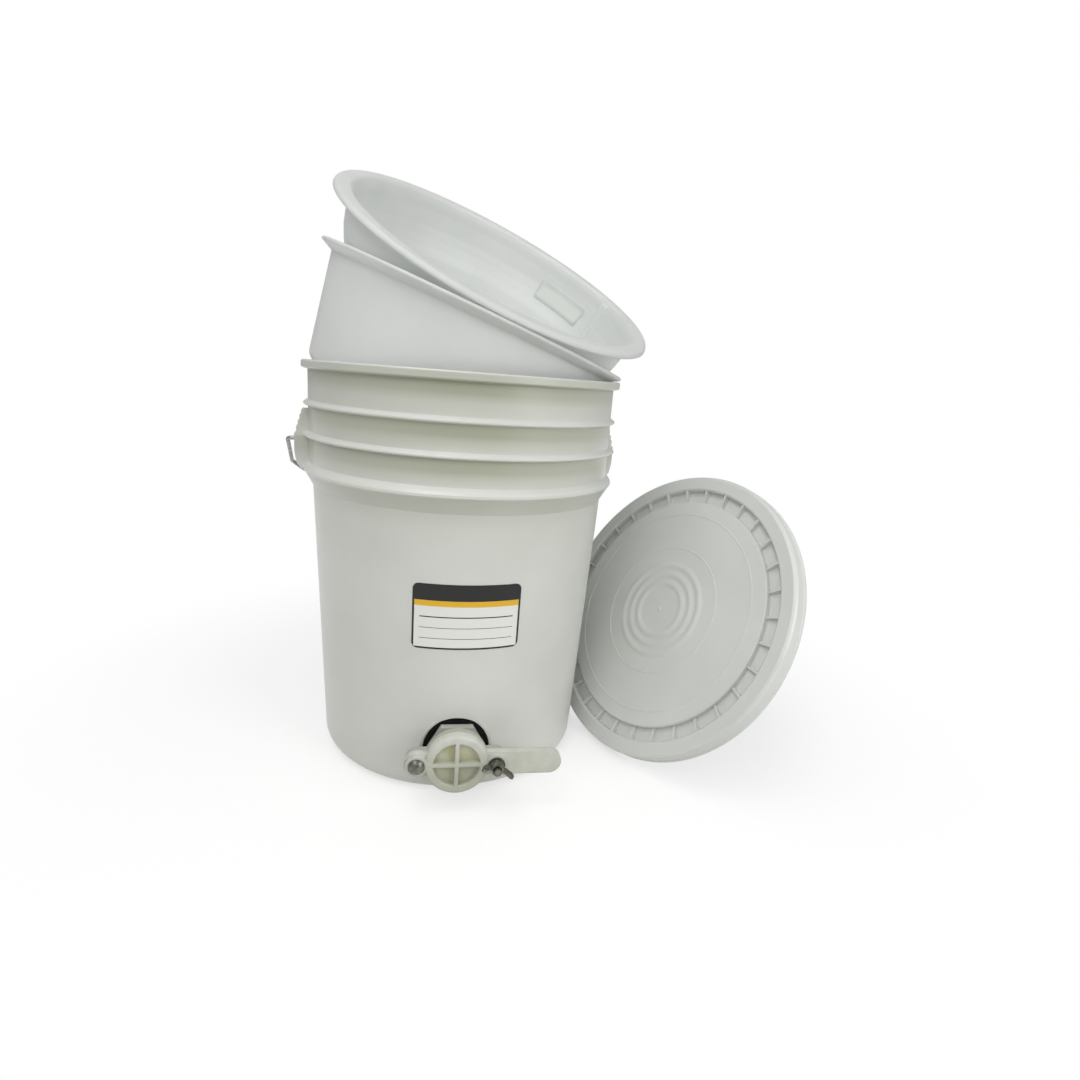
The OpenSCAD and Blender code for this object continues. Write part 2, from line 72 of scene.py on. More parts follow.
# the camera's turns are in radians: to the right of the pail's front, down, and over to one side
camera_place = (-0.02973, -0.63984, 0.36922)
camera_yaw, camera_pitch, camera_roll = 0.176376, 0.248480, 0.075625
ahead = Vector((math.sin(camera_yaw) * math.cos(camera_pitch),
                math.cos(camera_yaw) * math.cos(camera_pitch), -math.sin(camera_pitch)))
level = Vector((math.cos(camera_yaw), -math.sin(camera_yaw), 0))
over = level.cross(ahead)
camera_side = level * math.cos(camera_roll) + over * math.sin(camera_roll)
camera_up = over * math.cos(camera_roll) - level * math.sin(camera_roll)
camera_data = bpy.data.cameras.new("camera")
camera_data.lens = 21.589
camera_data.sensor_width = 36
camera = bpy.data.objects.new("camera", camera_data)
bpy.context.scene.collection.objects.link(camera)
camera.matrix_world = Matrix.Translation(camera_place) @ Matrix(
    (camera_side, camera_up, -ahead)).transposed().to_4x4()
bpy.context.scene.camera = camera
bpy.context.scene.view_settings.view_transform = "Standard"

paper_wide, paper_drop = 6, 0.0005
deselect()
bpy.ops.mesh.primitive_plane_add(size=paper_wide, location=(0, 0, -paper_drop))
floor = bpy.context.object
floor.name = "paper_floor"
bpy.ops.object.mode_set(mode="EDIT")
bpy.ops.mesh.select_all(action="SELECT")
bpy.ops.mesh.subdivide(number_cuts=3)
bpy.ops.object.mode_set(mode="OBJECT")

# matt white paper: white to the eye, to gloss and through clear things, and it still takes a soft shadow
# round the pail and the lid, which fades to plain white further out
shadow_middle, shadow_near, shadow_far = (0.06, 0, 0), 0.24, 0.6
paper, tree = start_material("white_paper_sweep")
path = add_node(tree, "ShaderNodeLightPath")
seen = add_node(tree, "ShaderNodeMath",
                {0: path.outputs["Is Camera Ray"], 1: path.outputs["Is Glossy Ray"]}, operation="MAXIMUM")
seen = add_node(tree, "ShaderNodeMath",
                {0: seen.outputs[0], 1: path.outputs["Is Transmission Ray"]}, operation="MAXIMUM")
shaded = add_node(tree, "ShaderNodeBsdfDiffuse", {"Color": linear("#B4B4B4")})
lit = add_node(tree, "ShaderNodeEmission", {"Color": linear("#FFFFFF"), "Strength": 0.58})
both = add_node(tree, "ShaderNodeAddShader", {0: shaded.outputs[0], 1: lit.outputs[0]})
spot = add_node(tree, "ShaderNodeTexCoord").outputs["Object"]
out = add_node(tree, "ShaderNodeVectorMath", {0: spot, 1: shadow_middle}, operation="DISTANCE")
far = add_node(tree, "ShaderNodeMapRange",
               {"Value": out.outputs["Value"], "From Min": shadow_near, "From Max": shadow_far},
               interpolation_type="SMOOTHSTEP")
white = add_node(tree, "ShaderNodeEmission", {"Color": linear("#FFFFFF"), "Strength": 1.0})
both = add_node(tree, "ShaderNodeMixShader", {0: far.outputs[0], 1: both.outputs[0], 2: white.outputs[0]})
plain = add_node(tree, "ShaderNodeBsdfDiffuse", {"Color": linear("#CECEC8")})
mixed = add_node(tree, "ShaderNodeMixShader", {0: seen.outputs[0], 1: plain.outputs[0], 2: both.outputs[0]})
add_node(tree, "ShaderNodeOutputMaterial", {"Surface": mixed.outputs[0]})
floor.data.materials.append(paper)

world = bpy.data.worlds.new("studio")
world.use_nodes = True
bpy.context.scene.world = world
tree = world.node_tree
tree.nodes.clear()
path = add_node(tree, "ShaderNodeLightPath")
seen = add_node(tree, "ShaderNodeMath",
                {0: path.outputs["Is Camera Ray"], 1: path.outputs["Is Transmission Ray"]},
                operation="MAXIMUM")
strength = add_node(tree, "ShaderNodeMapRange", {"Value": seen.outputs[0], "To Min": 0.42, "To Max": 1.0})
sky = add_node(tree, "ShaderNodeBackground", {"Color": linear("#FFFFFF"), "Strength": strength.outputs[0]})
add_node(tree, "ShaderNodeOutputWorld", {"Surface": sky.outputs[0]})

softbox_wide = 0.9
for name, place, aim, power in (
        ("key_softbox", (-0.55, -1.35, 1.35), (0, 0, 0.25), 8.2),
        ("fill_softbox", (1.2, -1.2, 0.8), (0.05, 0, 0.25), 10),
        ("top_softbox", (-0.4, -0.5, 1.7), (0.05, 0, 0.3), 7)):
    lamp_data = bpy.data.lights.new(name, "AREA")
    lamp_data.size = softbox_wide
    lamp_data.energy = power
    lamp = bpy.data.objects.new(name, lamp_data)
    bpy.context.scene.collection.objects.link(lamp)
    lamp.location = place
    lamp.rotation_euler = (Vector(aim) - Vector(place)).to_track_quat("-Z", "Y").to_euler()


# The pail: one moulding of white polyethylene with a thick rim, three plain rings, two stepped ears and a
# rounded base. It comes off its core upwards, which leaves faint draw lines along the wall.
def dress(node_name, material):
    nodes[node_name].data.materials.clear()
    nodes[node_name].data.materials.append(material)


# the heights between which painted shade can lie on the wall
shade_low, shade_high = 0.2, 0.37


# injection-moulded HDPE: warm white, a little waxy, satin with a fine orange peel and faint upright draw
# lines, with painted shade mixed in by height; each pattern's scale is 1000 over its size in mm
def moulded_hdpe(name, dark, light, shade_colour, shade_by_height):
    made, tree = start_material(name)
    place = add_node(tree, "ShaderNodeTexCoord").outputs["Object"]
    cloud = add_node(tree, "ShaderNodeTexNoise", {"Vector": place, "Scale": 1000 / 70, "Detail": 3.0})
    tone = add_node(tree, "ShaderNodeValToRGB", {"Fac": cloud.outputs["Fac"]})
    tone.color_ramp.elements[0].position = 0.32
    tone.color_ramp.elements[0].color = linear(dark)
    tone.color_ramp.elements[1].position = 0.68
    tone.color_ramp.elements[1].color = linear(light)

    # the painted shade's share goes by height, and it thins out from the front to the sides
    spot = add_node(tree, "ShaderNodeSeparateXYZ", {0: place})
    height = add_node(tree, "ShaderNodeMapRange",
                      {"Value": spot.outputs["Z"], "From Min": shade_low, "From Max": shade_high})
    shade_and_dust = add_node(tree, "ShaderNodeValToRGB", {"Fac": height.outputs[0]})
    while len(shade_and_dust.color_ramp.elements) < len(shade_by_height):
        shade_and_dust.color_ramp.elements.new(0.5)
    for stop, (up, amount) in zip(shade_and_dust.color_ramp.elements, shade_by_height):
        stop.position = (up - shade_low) / (shade_high - shade_low)
        stop.color = (amount, amount, amount, 1)
    aside = add_node(tree, "ShaderNodeMath", {0: spot.outputs["X"]}, operation="ABSOLUTE")
    front = add_node(tree, "ShaderNodeMapRange",
                     {"Value": aside.outputs[0], "From Min": 0.02, "From Max": 0.15,
                      "To Min": 1.0, "To Max": 0.45})
    shade_and_dust = add_node(tree, "ShaderNodeMath", {0: shade_and_dust.outputs["Color"], 1: front.outputs[0]},
                    operation="MULTIPLY")
    tone = add_node(tree, "ShaderNodeMix",
                    {"Factor": shade_and_dust.outputs[0], "A": tone.outputs["Color"], "B": linear(shade_colour)},
                    data_type="RGBA")

    drawn = add_node(tree, "ShaderNodeMapping", {"Vector": place, "Scale": (1.0, 1.0, 0.03)})
    lines = add_node(tree, "ShaderNodeTexNoise",
                     {"Vector": drawn.outputs[0], "Scale": 1000 / 5, "Detail": 2.0})
    gloss = add_node(tree, "ShaderNodeMapRange",
                     {"Value": lines.outputs["Fac"], "From Min": 0.3, "From Max": 0.7,
                      "To Min": 0.30, "To Max": 0.33})
    peel = add_node(tree, "ShaderNodeTexNoise", {"Vector": place, "Scale": 1000 / 2.2, "Detail": 1.0})
    relief = add_node(tree, "ShaderNodeMath", {0: lines.outputs["Fac"], 1: peel.outputs["Fac"]},
                      operation="ADD")
    bump = add_node(tree, "ShaderNodeBump",
                    {"Height": relief.outputs[0], "Strength": 0.03, "Distance": 0.0003})
    skin = add_node(tree, "ShaderNodeBsdfPrincipled",
                    {"Base Color": tone.outputs["Result"], "Roughness": gloss.outputs[0], "IOR": 1.53,
                     "Subsurface Weight": 0.12, "Subsurface Radius": (1.0, 0.95, 0.85),
                     "Subsurface Scale": 0.004, "Normal": bump.outputs[0]})
    add_node(tree, "ShaderNodeOutputMaterial", {"Surface": skin.outputs[0]})
    return made


# painted shade lies in the necks, most right under each ring and the rim, and on the rim's face
pail_painted_shade = [
    (0.2000, 0.0), (0.2450, 0.1), (0.2705, 0.5), (0.2728, 0.0),
    (0.2790, 0.0), (0.2815, 0.2), (0.2870, 0.45), (0.2920, 0.85), (0.3010, 0.85), (0.3028, 0.0),
    (0.3068, 0.0), (0.3090, 0.3), (0.3150, 0.55), (0.3200, 0.95), (0.3280, 0.95), (0.3298, 0.0),
    (0.3338, 0.0), (0.3360, 0.25), (0.3450, 0.4), (0.3520, 0.9), (0.3605, 0.95),
    (0.3618, 0.6), (0.3664, 0.55), (0.3678, 0.0)]
dress("bucket_shell", moulded_hdpe("moulded_white_hdpe", "#D1D3CD", "#D8D9D4", "#A6A894", pail_painted_shade))


# The write-on label: a vinyl sticker on the pail's front, die-cut with round corners and pressed onto the
# wall. It carries a plain black head, a honey-yellow stripe and ruled lines for batch and date.
label_wide, label_tall, label_corner, label_film = 0.090, 0.058, 0.005, 0.0001
label_x, label_z, label_lift = 0.004, 0.170, 0.0002

# it starts as a flat sheet out from the wall, cut in upright strips so that it can follow the wall round
sheet_out, sheet_strips = 0.17, 30
deselect()
bpy.ops.mesh.primitive_plane_add(size=1, location=(label_x, -sheet_out, label_z),
                                 rotation=(math.pi / 2, 0, 0))
label = bpy.context.object
label.name = "write_on_label"
label.scale = (label_wide, label_tall, 1)
bpy.ops.object.transform_apply(location=True, rotation=True, scale=True)
bpy.ops.object.mode_set(mode="EDIT")
bpy.ops.mesh.select_all(action="SELECT")
bpy.ops.mesh.bevel(offset=label_corner, segments=6, affect="VERTICES")
for k in range(1, sheet_strips):
    cut_x = label_x + label_wide * (k / sheet_strips - 0.5)
    bpy.ops.mesh.select_all(action="SELECT")
    bpy.ops.mesh.bisect(plane_co=(cut_x, 0, 0), plane_no=(1, 0, 0))
bpy.ops.object.mode_set(mode="OBJECT")
wrap = label.modifiers.new("pressed_on", "SHRINKWRAP")
wrap.target = nodes["bucket_shell"]
wrap.wrap_method = "PROJECT"
wrap.use_project_y = True
wrap.use_positive_direction = True
wrap.use_negative_direction = True
wrap.offset = label_lift
bpy.ops.object.modifier_apply(modifier="pressed_on")
thick = label.modifiers.new("vinyl", "SOLIDIFY")
thick.thickness = label_film
thick.offset = 1
bpy.ops.object.modifier_apply(modifier="vinyl")
bpy.ops.object.shade_smooth_by_angle(angle=math.radians(40))
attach(label, "pail")

# printed gloss vinyl: flat inks under a clear film, so an even shine over hard-edged colour
# (heights on the label are measured up from its middle)
edge_wide, head_low, stripe_low = 0.0016, 0.0145, 0.0095
rule_apart, rule_half, rule_reach, rule_top = 0.0095, 0.0005, 0.039, 0.006
vinyl, tree = start_material("printed_gloss_vinyl")
place = add_node(tree, "ShaderNodeTexCoord").outputs["Object"]
spot = add_node(tree, "ShaderNodeSeparateXYZ", {0: place})
across = add_node(tree, "ShaderNodeMath", {0: spot.outputs["X"], 1: label_x}, operation="SUBTRACT")
across = add_node(tree, "ShaderNodeMath", {0: across.outputs[0]}, operation="ABSOLUTE")
up = add_node(tree, "ShaderNodeMath", {0: spot.outputs["Z"], 1: label_z}, operation="SUBTRACT")
away = add_node(tree, "ShaderNodeMath", {0: up.outputs[0]}, operation="ABSOLUTE")
side_edge = add_node(tree, "ShaderNodeMath", {0: across.outputs[0], 1: label_wide / 2 - edge_wide},
                     operation="GREATER_THAN")
top_edge = add_node(tree, "ShaderNodeMath", {0: away.outputs[0], 1: label_tall / 2 - edge_wide},
                    operation="GREATER_THAN")
head = add_node(tree, "ShaderNodeMath", {0: up.outputs[0], 1: head_low}, operation="GREATER_THAN")
step = add_node(tree, "ShaderNodeMath", {0: up.outputs[0], 1: rule_apart}, operation="MODULO")
rule = add_node(tree, "ShaderNodeMath", {0: step.outputs[0]}, operation="ABSOLUTE")
rule = add_node(tree, "ShaderNodeMath", {0: rule.outputs[0], 1: rule_half}, operation="LESS_THAN")
field = add_node(tree, "ShaderNodeMath", {0: across.outputs[0], 1: rule_reach}, operation="LESS_THAN")
low = add_node(tree, "ShaderNodeMath", {0: up.outputs[0], 1: rule_top}, operation="LESS_THAN")
rule = add_node(tree, "ShaderNodeMath", {0: rule.outputs[0], 1: field.outputs[0]}, operation="MULTIPLY")
rule = add_node(tree, "ShaderNodeMath", {0: rule.outputs[0], 1: low.outputs[0]}, operation="MULTIPLY")
black = add_node(tree, "ShaderNodeMath", {0: side_edge.outputs[0], 1: top_edge.outputs[0]},
                 operation="MAXIMUM")
black = add_node(tree, "ShaderNodeMath", {0: black.outputs[0], 1: head.outputs[0]}, operation="MAXIMUM")
black = add_node(tree, "ShaderNodeMath", {0: black.outputs[0], 1: rule.outputs[0]}, operation="MAXIMUM")
stripe = add_node(tree, "ShaderNodeMath", {0: up.outputs[0], 1: stripe_low}, operation="GREATER_THAN")
honey = add_node(tree, "ShaderNodeMix",
                 {"Factor": stripe.outputs[0], "A": linear("#E6E7E2"), "B": linear("#E2B224")},
                 data_type="RGBA")
ink = add_node(tree, "ShaderNodeMix",
               {"Factor": black.outputs[0], "A": honey.outputs["Result"], "B": linear("#0E0E0E")},
               data_type="RGBA")
film_and_painted_shade = add_node(tree, "ShaderNodeTexNoise", {"Vector": place, "Scale": 1000 / 8})
bump = add_node(tree, "ShaderNodeBump", {"Height": film_and_painted_shade.outputs["Fac"], "Strength": 0.04, "Distance": 0.0005})
skin = add_node(tree, "ShaderNodeBsdfPrincipled",
                {"Base Color": ink.outputs["Result"], "Roughness": 0.3, "IOR": 1.5,
                 "Normal": bump.outputs[0]})
add_node(tree, "ShaderNodeOutputMaterial", {"Surface": skin.outputs[0]})
label.data.materials.append(vinyl)


# The bail: a galvanised steel wire bent to an arch, its ends turned in and sprung into the ears' blind holes.
# It hangs down behind the pail.

# hot-dipped zinc on drawn wire: dull grey metal with a soft spangle
zinc_wire, tree = start_material("galvanised_drawn_wire")
place = add_node(tree, "ShaderNodeTexCoord").outputs["Object"]
spangle = add_node(tree, "ShaderNodeTexVoronoi", {"Vector": place, "Scale": 1000 / 4})
grey = add_node(tree, "ShaderNodeValToRGB", {"Fac": spangle.outputs["Color"]})
grey.color_ramp.elements[0].color = linear("#8D8F8C")
grey.color_ramp.elements[1].color = linear("#B4B6B2")
gloss = add_node(tree, "ShaderNodeMapRange",
                 {"Value": spangle.outputs["Distance"], "From Max": 0.6, "To Min": 0.28, "To Max": 0.45})
scratch = add_node(tree, "ShaderNodeTexNoise", {"Vector": place, "Scale": 1000 / 0.8})
bump = add_node(tree, "ShaderNodeBump",
                {"Height": scratch.outputs["Fac"], "Strength": 0.1, "Distance": 0.0002})
skin = add_node(tree, "ShaderNodeBsdfPrincipled",
                {"Base Color": grey.outputs["Color"], "Metallic": 1.0, "Roughness": gloss.outputs[0],
                 "Normal": bump.outputs[0]})
add_node(tree, "ShaderNodeOutputMaterial", {"Surface": skin.outputs[0]})
dress("bail_wire", zinc_wire)


# The grip: a plain moulded tube of white polyethylene. It is threaded on the bail's wire and turns freely
# under the hand.

# moulded polyethylene: the pail's white, a touch softer, with a fine grain
grip_pe, tree = start_material("moulded_grip_polyethylene")
place = add_node(tree, "ShaderNodeTexCoord").outputs["Object"]
mottle = add_node(tree, "ShaderNodeTexNoise", {"Vector": place, "Scale": 1000 / 25})
tone = add_node(tree, "ShaderNodeValToRGB", {"Fac": mottle.outputs["Fac"]})
tone.color_ramp.elements[0].color = linear("#D6D8D2")
tone.color_ramp.elements[1].color = linear("#E2E3DE")
grain = add_node(tree, "ShaderNodeTexNoise", {"Vector": place, "Scale": 1000 / 1.5})
bump = add_node(tree, "ShaderNodeBump",
                {"Height": grain.outputs["Fac"], "Strength": 0.08, "Distance": 0.0003})
skin = add_node(tree, "ShaderNodeBsdfPrincipled",
                {"Base Color": tone.outputs["Color"], "Roughness": 0.42, "IOR": 1.53,
                 "Normal": bump.outputs[0]})
add_node(tree, "ShaderNodeOutputMaterial", {"Surface": skin.outputs[0]})
dress("bail_grip", grip_pe)


# The gate's body: moulded nylon with a hexagon flange, a barrel and a face plate. Its threaded neck goes
# through the wall, with a rubber ring outside and a nut of the same nylon inside.

# nylon as moulded: cool white, slightly waxy, soft shine, rounded arrises; its colour is painted darker than
# the blade's, as painted shade
shaded_gate_nylon, tree = start_material("moulded_white_nylon_painted_shade")
place = add_node(tree, "ShaderNodeTexCoord").outputs["Object"]
mottle = add_node(tree, "ShaderNodeTexNoise", {"Vector": place, "Scale": 1000 / 14, "Detail": 3.0})
tone = add_node(tree, "ShaderNodeValToRGB", {"Fac": mottle.outputs["Fac"]})
tone.color_ramp.elements[0].position = 0.35
tone.color_ramp.elements[0].color = linear("#AAACA1")
tone.color_ramp.elements[1].position = 0.7
tone.color_ramp.elements[1].color = linear("#B7B9AF")
grain = add_node(tree, "ShaderNodeTexNoise", {"Vector": place, "Scale": 1000 / 1.2})
gloss = add_node(tree, "ShaderNodeMapRange",
                 {"Value": mottle.outputs["Fac"], "To Min": 0.34, "To Max": 0.46})
arris = add_node(tree, "ShaderNodeBevel", {"Radius": 0.0007})
bump = add_node(tree, "ShaderNodeBump",
                {"Height": grain.outputs["Fac"], "Strength": 0.06, "Distance": 0.0004,
                 "Normal": arris.outputs[0]})
skin = add_node(tree, "ShaderNodeBsdfPrincipled",
                {"Base Color": tone.outputs["Color"], "Roughness": gloss.outputs[0], "IOR": 1.53,
                 "Subsurface Weight": 0.1, "Subsurface Radius": (1.0, 0.95, 0.85),
                 "Subsurface Scale": 0.003, "Normal": bump.outputs[0]})
add_node(tree, "ShaderNodeOutputMaterial", {"Surface": skin.outputs[0]})
dress("gate_body", shaded_gate_nylon)
dress("gate_locknut", shaded_gate_nylon)


# The gate's blade: moulded nylon with a raised ring and cross, a handle and an open slot. It swings on the
# pivot bolt across the body's face plate and closes the honey way.
gate_middle = (0, 0, 0.0464)

# the tint is full down in the pockets, and ends at the ring's inner edge and towards the blade's face
tint_full_r, tint_end_r = 0.0188, 0.0197
tint_end_y, tint_full_y = -0.1549, -0.1521

# the painted shade grows from the first height down to the second, and is thinner past the disc's edge
shade_start_z, shade_full_z = 0.066, 0.036
shade_full_r, shade_thin_r = 0.0265, 0.0300

# the same nylon, with a warm khaki tint in the four pockets round the cross and painted shade lower down
blade_nylon, tree = start_material("moulded_nylon_tinted_painted_shade")
place = add_node(tree, "ShaderNodeTexCoord").outputs["Object"]
spot = add_node(tree, "ShaderNodeSeparateXYZ", {0: place})
mottle = add_node(tree, "ShaderNodeTexNoise", {"Vector": place, "Scale": 1000 / 9, "Detail": 4.0})
clean = add_node(tree, "ShaderNodeValToRGB", {"Fac": mottle.outputs["Fac"]})
clean.color_ramp.elements[0].position = 0.35
clean.color_ramp.elements[0].color = linear("#C6C8BE")
clean.color_ramp.elements[1].position = 0.7
clean.color_ramp.elements[1].color = linear("#D2D4CB")
pocket_tint = add_node(tree, "ShaderNodeValToRGB", {"Fac": mottle.outputs["Fac"]})
pocket_tint.color_ramp.elements[0].position = 0.36
pocket_tint.color_ramp.elements[0].color = linear("#C3BF92")
pocket_tint.color_ramp.elements[1].position = 0.6
pocket_tint.color_ramp.elements[1].color = linear("#CFCEB8")
middle = add_node(tree, "ShaderNodeVectorMath", {0: place, 1: gate_middle}, operation="SUBTRACT")
flat = add_node(tree, "ShaderNodeVectorMath", {0: middle.outputs[0], 1: (1, 0, 1)}, operation="MULTIPLY")
out = add_node(tree, "ShaderNodeVectorMath", {0: flat.outputs[0]}, operation="LENGTH")
within = add_node(tree, "ShaderNodeMapRange",
                  {"Value": out.outputs["Value"], "From Min": tint_full_r, "From Max": tint_end_r,
                   "To Min": 1.0, "To Max": 0.0})
deep = add_node(tree, "ShaderNodeMapRange",
                {"Value": spot.outputs["Y"], "From Min": tint_end_y, "From Max": tint_full_y})
pocket = add_node(tree, "ShaderNodeMath", {0: within.outputs[0], 1: deep.outputs[0]}, operation="MULTIPLY")
tone = add_node(tree, "ShaderNodeMix",
                {"Factor": pocket.outputs[0], "A": clean.outputs["Color"], "B": pocket_tint.outputs["Color"]},
                data_type="RGBA")
# painted shade: darker towards the bottom of the blade, most on the disc
near_ring = add_node(tree, "ShaderNodeMapRange",
                     {"Value": out.outputs["Value"], "From Min": shade_full_r, "From Max": shade_thin_r,
                      "To Min": 0.75, "To Max": 0.3})
below = add_node(tree, "ShaderNodeMapRange",
                 {"Value": spot.outputs["Z"], "From Min": shade_start_z, "From Max": shade_full_z,
                  "To Min": 0.0, "To Max": 1.0})
film_and_painted_shade = add_node(tree, "ShaderNodeMath", {0: near_ring.outputs[0], 1: below.outputs[0]}, operation="MULTIPLY")
tone = add_node(tree, "ShaderNodeMix",
                {"Factor": film_and_painted_shade.outputs[0], "A": tone.outputs["Result"], "B": linear("#A7A996")},
                data_type="RGBA")
gloss = add_node(tree, "ShaderNodeMapRange",
                 {"Value": mottle.outputs["Fac"], "To Min": 0.32, "To Max": 0.46})
grain = add_node(tree, "ShaderNodeTexNoise", {"Vector": place, "Scale": 1000 / 1.2})
arris = add_node(tree, "ShaderNodeBevel", {"Radius": 0.0016})
bump = add_node(tree, "ShaderNodeBump",
                {"Height": grain.outputs["Fac"], "Strength": 0.06, "Distance": 0.0004,
                 "Normal": arris.outputs[0]})
skin = add_node(tree, "ShaderNodeBsdfPrincipled",
                {"Base Color": tone.outputs["Result"], "Roughness": gloss.outputs[0], "IOR": 1.53,
                 "Subsurface Weight": 0.1, "Subsurface Radius": (1.0, 0.95, 0.8),
                 "Subsurface Scale": 0.003, "Normal": bump.outputs[0]})
add_node(tree, "ShaderNodeOutputMaterial", {"Surface": skin.outputs[0]})
dress("gate_blade", blade_nylon)


# The gate's gasket: a ring cut from black rubber sheet. It is squeezed between the hexagon flange and the
# pail's wall.

# cut nitrile rubber: near black, matt, with a little dust
rubber, tree = start_material("cut_black_rubber")
place = add_node(tree, "ShaderNodeTexCoord").outputs["Object"]
shade_and_dust = add_node(tree, "ShaderNodeTexNoise", {"Vector": place, "Scale": 1000 / 3, "Detail": 5.0})
tone = add_node(tree, "ShaderNodeValToRGB", {"Fac": shade_and_dust.outputs["Fac"]})
tone.color_ramp.elements[0].position = 0.45
tone.color_ramp.elements[0].color = linear("#050505")
tone.color_ramp.elements[1].position = 0.8
tone.color_ramp.elements[1].color = linear("#141414")
bump = add_node(tree, "ShaderNodeBump", {"Height": shade_and_dust.outputs["Fac"], "Strength": 0.15, "Distance": 0.0004})
skin = add_node(tree, "ShaderNodeBsdfPrincipled",
                {"Base Color": tone.outputs["Color"], "Roughness": 0.7, "IOR": 1.3,
                 "Normal": bump.outputs[0]})
add_node(tree, "ShaderNodeOutputMaterial", {"Surface": skin.outputs[0]})
dress("gate_gasket", rubber)


# The gate's fasteners: a round-headed pivot bolt with its nut on the left, and on the right a stud and a flat
# washer, all of stainless steel, with a cast wing nut that clamps the blade.

# stainless steel, turned and tumbled: grey metal with fine turning rings and dull high spots
bolt_steel, tree = start_material("turned_stainless_steel")
place = add_node(tree, "ShaderNodeTexCoord").outputs["Object"]
wear = add_node(tree, "ShaderNodeTexNoise", {"Vector": place, "Scale": 1000 / 3, "Detail": 4.0})
tone = add_node(tree, "ShaderNodeValToRGB", {"Fac": wear.outputs["Fac"]})
tone.color_ramp.elements[0].position = 0.3
tone.color_ramp.elements[0].color = linear("#5C5B55")
tone.color_ramp.elements[1].position = 0.75
tone.color_ramp.elements[1].color = linear("#8A8982")
turned = add_node(tree, "ShaderNodeMapping", {"Vector": place, "Scale": (1.0, 6.0, 1.0)})
rings = add_node(tree, "ShaderNodeTexNoise", {"Vector": turned.outputs[0], "Scale": 1000 / 1.2})
gloss = add_node(tree, "ShaderNodeMapRange", {"Value": wear.outputs["Fac"], "To Min": 0.26, "To Max": 0.5})
arris = add_node(tree, "ShaderNodeBevel", {"Radius": 0.0004})
bump = add_node(tree, "ShaderNodeBump",
                {"Height": rings.outputs["Fac"], "Strength": 0.12, "Distance": 0.0002,
                 "Normal": arris.outputs[0]})
skin = add_node(tree, "ShaderNodeBsdfPrincipled",
                {"Base Color": tone.outputs["Color"], "Metallic": 1.0, "Roughness": gloss.outputs[0],
                 "Normal": bump.outputs[0]})
add_node(tree, "ShaderNodeOutputMaterial", {"Surface": skin.outputs[0]})
for fastener in ("pivot_bolt", "pivot_nut", "clamp_bolt", "clamp_washer"):
    dress(fastener, bolt_steel)

# die-cast zinc, nickel plated and gone dull: darker, browner metal with a sandy cast skin
wing_zinc, tree = start_material("dull_nickel_on_cast_zinc")
place = add_node(tree, "ShaderNodeTexCoord").outputs["Object"]
wear = add_node(tree, "ShaderNodeTexNoise", {"Vector": place, "Scale": 1000 / 2.5, "Detail": 5.0})
tone = add_node(tree, "ShaderNodeValToRGB", {"Fac": wear.outputs["Fac"]})
tone.color_ramp.elements[0].position = 0.3
tone.color_ramp.elements[0].color = linear("#5B584E")
tone.color_ramp.elements[1].position = 0.75
tone.color_ramp.elements[1].color = linear("#908D84")
gloss = add_node(tree, "ShaderNodeMapRange", {"Value": wear.outputs["Fac"], "To Min": 0.3, "To Max": 0.55})
arris = add_node(tree, "ShaderNodeBevel", {"Radius": 0.0006})
bump = add_node(tree, "ShaderNodeBump",
                {"Height": wear.outputs["Fac"], "Strength": 0.18, "Distance": 0.0004,
                 "Normal": arris.outputs[0]})
skin = add_node(tree, "ShaderNodeBsdfPrincipled",
                {"Base Color": tone.outputs["Color"], "Metallic": 1.0, "Roughness": gloss.outputs[0],
                 "Normal": bump.outputs[0]})
add_node(tree, "ShaderNodeOutputMaterial", {"Surface": skin.outputs[0]})
dress("wing_nut", wing_zinc)


# The lower strainer: a tapered basket of natural polyethylene with a flange, leaning in the pail's mouth with
# its low edge on the rim. Fine nylon cloth is welded over its open floor under a flat ring.

# natural polyethylene, moulded: cool milky white that lets light into its thin wall, with a soft shine
def milky_polyethylene(name, dark, light, through):
    made, tree = start_material(name)
    place = add_node(tree, "ShaderNodeTexCoord").outputs["Object"]
    cloud = add_node(tree, "ShaderNodeTexNoise", {"Vector": place, "Scale": 1000 / 55, "Detail": 3.0})
    tone = add_node(tree, "ShaderNodeValToRGB", {"Fac": cloud.outputs["Fac"]})
    tone.color_ramp.elements[0].position = 0.32
    tone.color_ramp.elements[0].color = linear(dark)
    tone.color_ramp.elements[1].position = 0.7
    tone.color_ramp.elements[1].color = linear(light)
    peel = add_node(tree, "ShaderNodeTexNoise", {"Vector": place, "Scale": 1000 / 2.5})
    gloss = add_node(tree, "ShaderNodeMapRange",
                     {"Value": cloud.outputs["Fac"], "To Min": 0.34, "To Max": 0.46})
    arris = add_node(tree, "ShaderNodeBevel", {"Radius": 0.003})
    bump = add_node(tree, "ShaderNodeBump",
                    {"Height": peel.outputs["Fac"], "Strength": 0.03, "Distance": 0.0003,
                     "Normal": arris.outputs[0]})
    skin = add_node(tree, "ShaderNodeBsdfPrincipled",
                    {"Base Color": tone.outputs["Color"], "Roughness": gloss.outputs[0], "IOR": 1.52,
                     "Normal": bump.outputs[0]})
    glow = add_node(tree, "ShaderNodeBsdfTranslucent",
                    {"Color": linear("#FAFBFA"), "Normal": bump.outputs[0]})
    milky = add_node(tree, "ShaderNodeMixShader", {0: through, 1: skin.outputs[0], 2: glow.outputs[0]})
    add_node(tree, "ShaderNodeOutputMaterial", {"Surface": milky.outputs[0]})
    return made


strainer_pe = milky_polyethylene("milky_natural_polyethylene", "#ECEEED", "#F3F4F3", through=0.34)
dress("strainer_shell", strainer_pe)
dress("strainer_mesh_ring", strainer_pe)

